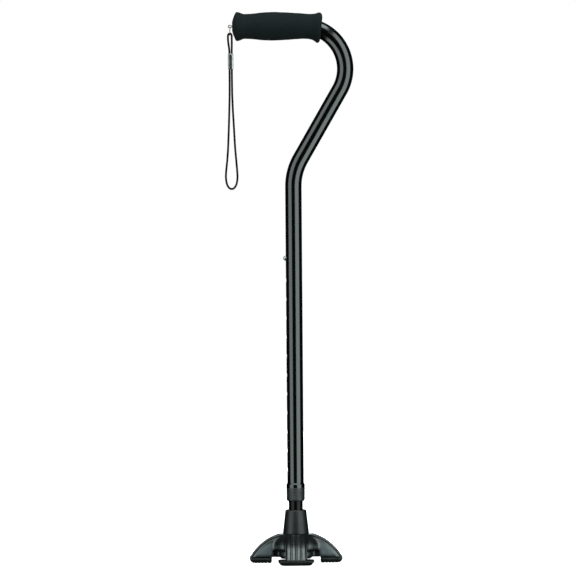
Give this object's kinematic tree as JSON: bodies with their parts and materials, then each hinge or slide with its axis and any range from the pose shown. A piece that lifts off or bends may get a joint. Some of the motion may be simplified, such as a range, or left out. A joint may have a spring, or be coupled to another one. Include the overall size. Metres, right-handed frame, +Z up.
{
  "type": "quad walking cane",
  "caption": "Height-adjustable walking cane with an offset foam-covered handle, a wrist strap, a lock collar and a self-standing four-lobed rubber foot.",
  "frame": {"origin": "on the floor, on the shaft's axis, midway between the four foot pads", "axes": "+Z up along the shaft; the grip points to -X and the offset bend is on the +X side; the handle lies in the XZ plane"},
  "size_m": [0.1731, 0.1248, 0.737],
  "materials": {
    "tube_black": "gloss black coated tube",
    "grip_foam": "matte closed-cell foam",
    "moulded_plastic": "moulded black plastic",
    "bright_metal": "bright plated",
    "spring_steel": "plain",
    "strap_cord": "braided cord",
    "tip_rubber": "satin moulded rubber",
    "pad_rubber": "matte non-slip rubber"
  },
  "bodies": {
    "base": {"lower_tube": "tube_black", "guide_bush": "moulded_plastic", "button_spring": "spring_steel", "tip_washer": "spring_steel", "tip_sleeve": "tip_rubber", "quad_base": "tip_rubber", "foot_pad_right": "pad_rubber", "foot_pad_back": "pad_rubber", "foot_pad_left": "pad_rubber", "foot_pad_front": "pad_rubber"},
    "handle": {"handle_tube": "tube_black", "foam_grip": "grip_foam", "handle_end_plug": "moulded_plastic", "strap_eye_screw": "bright_metal", "collet_bushing": "moulded_plastic"},
    "button": {"snap_button": "bright_metal"},
    "collar": {"lock_ring": "moulded_plastic"},
    "ring": {"strap_ring": "bright_metal"},
    "strap": {"strap_tether_loop": "strap_cord", "strap_ferrule": "bright_metal", "wrist_loop": "strap_cord"}
  },
  "joints": [
    {"name": "height_adjust", "type": "slide", "parent": "base", "child": "handle", "axis": [0, 0, 1], "range_m": [0, 0.2835], "deforming": ["snap_button", "button_spring"]},
    {"name": "button_press", "type": "slide", "parent": "base", "child": "button", "axis": [1, 0, 0], "range_m": [0, 0.0046], "stiffness_N_per_m": 2000, "springref_m": -0.002, "deforming": ["button_spring"]},
    {"name": "collar_turn", "type": "hinge", "parent": "handle", "child": "collar", "pos_m": [0, 0, 0.0904], "axis": [0, 0, 1], "range_deg": [0, 270]},
    {"name": "ring_swing", "type": "hinge", "parent": "handle", "child": "ring", "pos_m": [-0.0834, 0, 0.71715], "axis": [0, 1, 0], "range_deg": [0, 90]},
    {"name": "strap_swing", "type": "hinge", "parent": "ring", "child": "strap", "pos_m": [-0.0834, 0, 0.71155], "axis": [1, 0, 0], "range_deg": [-70, 70]}
  ]
}
